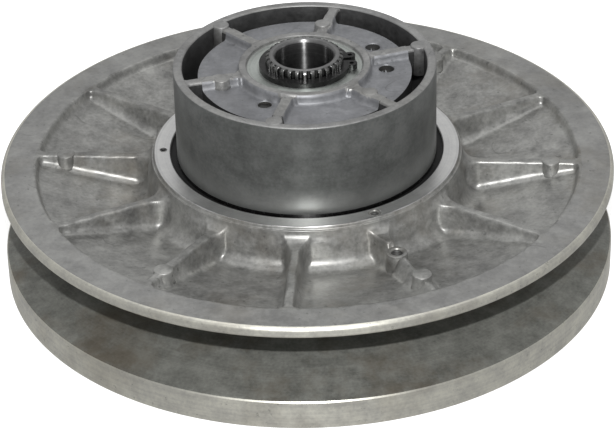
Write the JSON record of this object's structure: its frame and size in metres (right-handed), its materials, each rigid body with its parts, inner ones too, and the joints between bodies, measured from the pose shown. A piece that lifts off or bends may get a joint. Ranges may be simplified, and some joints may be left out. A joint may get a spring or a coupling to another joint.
{
  "type": "cvt driven pulley",
  "caption": "Driven pulley of a belt transmission: a fixed and a sliding cast sheave, a cam cup with helical ramps, a torsion spring and a splined hollow shaft.",
  "frame": {"origin": "centre of the fixed sheave's back rim face, on the shaft's axis", "axes": "+Z along the shaft from the fixed sheave to the cam cup; +X points right in the picture and +Y away from the camera"},
  "size_m": [0.2666, 0.2666, 0.0998],
  "materials": {
    "cast_aluminium": "as cast, mottled, with machined faces",
    "cup_aluminium": "cast, turned on its outer wall",
    "shaft_steel": "ground",
    "black_spring_steel": "black oxide",
    "spring_wire": "oil tempered",
    "washer_steel": "plain",
    "bushing_polymer": "filled bearing polymer",
    "roller_polymer": "natural nylon",
    "pin_steel": "ground",
    "bumper_rubber": "moulded"
  },
  "bodies": {
    "fixed_half": {"fixed_sheave": "cast_aluminium", "splined_shaft": "shaft_steel", "shaft_rivets": "pin_steel", "bumper_ring": "bumper_rubber", "cam_cup": "cup_aluminium", "circlip": "black_spring_steel", "torsion_spring": "spring_wire", "upper_spring_seat": "washer_steel"},
    "spring_follower": {"lower_spring_washer": "washer_steel"},
    "sliding_half": {"sliding_sheave": "cast_aluminium", "large_bushing": "bushing_polymer", "small_bushing_upper": "bushing_polymer", "small_bushing_lower": "bushing_polymer", "collar_set_screw": "pin_steel", "bushing_locating_pin": "pin_steel", "roller_pin_1": "pin_steel", "pin_clip_1": "black_spring_steel", "roller_pin_2": "pin_steel", "pin_clip_2": "black_spring_steel", "roller_pin_3": "pin_steel", "pin_clip_3": "black_spring_steel"},
    "ramp_roller_1": {"roller_1": "roller_polymer", "roller_liner_1": "bushing_polymer"},
    "ramp_roller_2": {"roller_2": "roller_polymer", "roller_liner_2": "bushing_polymer"},
    "ramp_roller_3": {"roller_3": "roller_polymer", "roller_liner_3": "bushing_polymer"}
  },
  "joints": [
    {"name": "sheave_travel", "type": "slide", "parent": "fixed_half", "child": "spring_follower", "axis": [0, 0, 1], "range_m": [0, 0.03], "stiffness_N_per_m": 6000, "springref_m": -0.012, "deforming": ["torsion_spring"]},
    {"name": "sheave_twist", "type": "hinge", "parent": "spring_follower", "child": "sliding_half", "pos_m": [0, 0, 0.04], "axis": [0, 0, 1], "range_deg": [0, 42.5]},
    {"name": "roller_1_spin", "type": "hinge", "parent": "sliding_half", "child": "ramp_roller_1", "pos_m": [0.04087, -0.00322, 0.042], "axis": [0.9969, -0.0785, 0], "range_deg": [0, 306]},
    {"name": "roller_2_spin", "type": "hinge", "parent": "sliding_half", "child": "ramp_roller_2", "pos_m": [-0.01765, 0.03701, 0.042], "axis": [-0.4305, 0.9026, 0], "range_deg": [0, 306]},
    {"name": "roller_3_spin", "type": "hinge", "parent": "sliding_half", "child": "ramp_roller_3", "pos_m": [-0.02322, -0.03379, 0.042], "axis": [-0.5664, -0.8241, 0], "range_deg": [0, 306]}
  ],
  "couplings": [
    {"joint": "sheave_twist", "follows": "sheave_travel", "rad_per_m": 24.63},
    {"joint": "roller_1_spin", "follows": "sheave_travel", "rad_per_m": 177.7},
    {"joint": "roller_2_spin", "follows": "sheave_travel", "rad_per_m": 177.7},
    {"joint": "roller_3_spin", "follows": "sheave_travel", "rad_per_m": 177.7}
  ]
}
